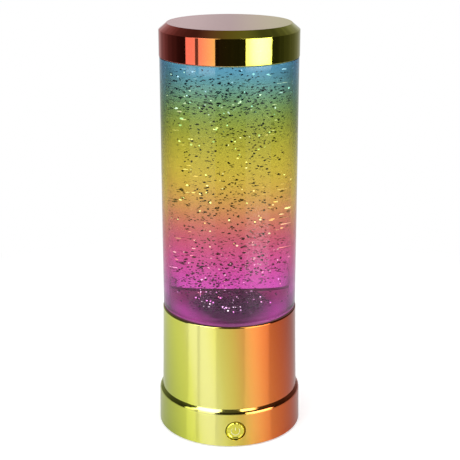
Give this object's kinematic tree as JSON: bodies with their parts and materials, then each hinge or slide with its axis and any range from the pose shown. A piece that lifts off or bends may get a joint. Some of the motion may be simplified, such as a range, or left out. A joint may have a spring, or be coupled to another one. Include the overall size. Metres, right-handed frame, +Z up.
{
  "type": "glitter lamp",
  "caption": "Upright cylindrical glitter lamp: a clear liquid-filled tank with swirling flakes between a metallised cap and a battery base with a push button.",
  "frame": {"origin": "on the table surface, under the middle of the base", "axes": "+Z up along the tank, the push button faces -Y, +X to the right seen from the front"},
  "size_m": [0.087, 0.087, 0.2458],
  "materials": {
    "metallised_cap_plastic": "vacuum-metallised plastic, mirror gloss, fading from red through orange to olive gold",
    "metallised_base_plastic": "vacuum-metallised plastic, mirror gloss, fading from lime gold through gold to copper red",
    "metallised_button_plastic": "vacuum-metallised plastic, yellow gold",
    "clear_tank_plastic": "water-clear moulded polystyrene, polished",
    "tinted_liquid": "clear water-based filling with a fade of tints, teal above, gold in the middle, magenta below",
    "glitter_foil": "metallised film flakes, mirror faces",
    "black_rubber": "moulded rubber, matte",
    "grey_plastic": "moulded plastic, fine matte",
    "black_plastic": "moulded plastic, fine spark-eroded grain",
    "dark_impeller_plastic": "moulded plastic, smooth",
    "steel": "bright zinc-plated steel",
    "magnet_nickel": "nickel-plated magnet",
    "motor_can_steel": "drawn and plated steel can",
    "circuit_board": "glass-epoxy board with green solder mask",
    "led_package": "white moulded package with a yellow phosphor well",
    "component_black": "moulded epoxy",
    "cell_jacket": "plain printed film jacket, satin",
    "contact_metal": "nickel-plated spring strip",
    "red_insulation": "soft vinyl wire insulation",
    "black_insulation": "soft vinyl wire insulation"
  },
  "bodies": {
    "lamp": {"top_cap": "metallised_cap_plastic", "tank": "clear_tank_plastic", "tank_plug": "grey_plastic", "plug_seal": "black_rubber", "filler_bung": "black_rubber", "tank_gasket": "black_rubber", "liquid": "tinted_liquid", "glitter_flakes": "glitter_foil", "settled_glitter": "glitter_foil", "pivot_pin": "steel", "base_housing": "metallised_base_plastic", "base_ring": "metallised_base_plastic", "motor_deck": "black_plastic", "motor": "motor_can_steel", "led_board": "circuit_board", "leds": "led_package", "base_plate": "black_plastic", "foot_ring": "black_rubber", "battery_1": "cell_jacket", "battery_2": "cell_jacket", "battery_3": "cell_jacket", "battery_contacts": "contact_metal", "push_switch": "component_black", "control_board": "circuit_board", "board_components": "component_black", "red_leads": "red_insulation", "black_leads": "black_insulation", "plate_screws": "steel", "tank_screws": "steel", "deck_screws": "steel", "motor_screws": "steel", "board_screws": "steel"},
    "button": {"power_button": "metallised_button_plastic", "switch_plunger": "grey_plastic"},
    "motor_drive": {"motor_shaft": "steel", "drive_rotor": "grey_plastic", "drive_magnets": "magnet_nickel"},
    "stirrer": {"impeller": "dark_impeller_plastic", "impeller_magnets": "magnet_nickel"},
    "battery_cover": {"battery_door": "black_plastic", "door_screws": "steel"}
  },
  "joints": [
    {"name": "button_press", "type": "slide", "parent": "lamp", "child": "button", "axis": [0, 1, 0], "range_m": [0, 0.0015], "stiffness_N_per_m": 1200, "springref_m": -0.0005},
    {"name": "motor_spin", "type": "hinge", "parent": "lamp", "child": "motor_drive", "pos_m": [0, 0, 0.06], "axis": [0, 0, 1], "continuous": true},
    {"name": "stirrer_spin", "type": "hinge", "parent": "lamp", "child": "stirrer", "pos_m": [0, 0, 0.08], "axis": [0, 0, 1], "continuous": true},
    {"name": "battery_cover_lift", "type": "slide", "parent": "lamp", "child": "battery_cover", "axis": [0, 0, -1], "range_m": [0, 0.025]}
  ],
  "couplings": [
    {"joint": "stirrer_spin", "follows": "motor_spin", "ratio": 1}
  ]
}
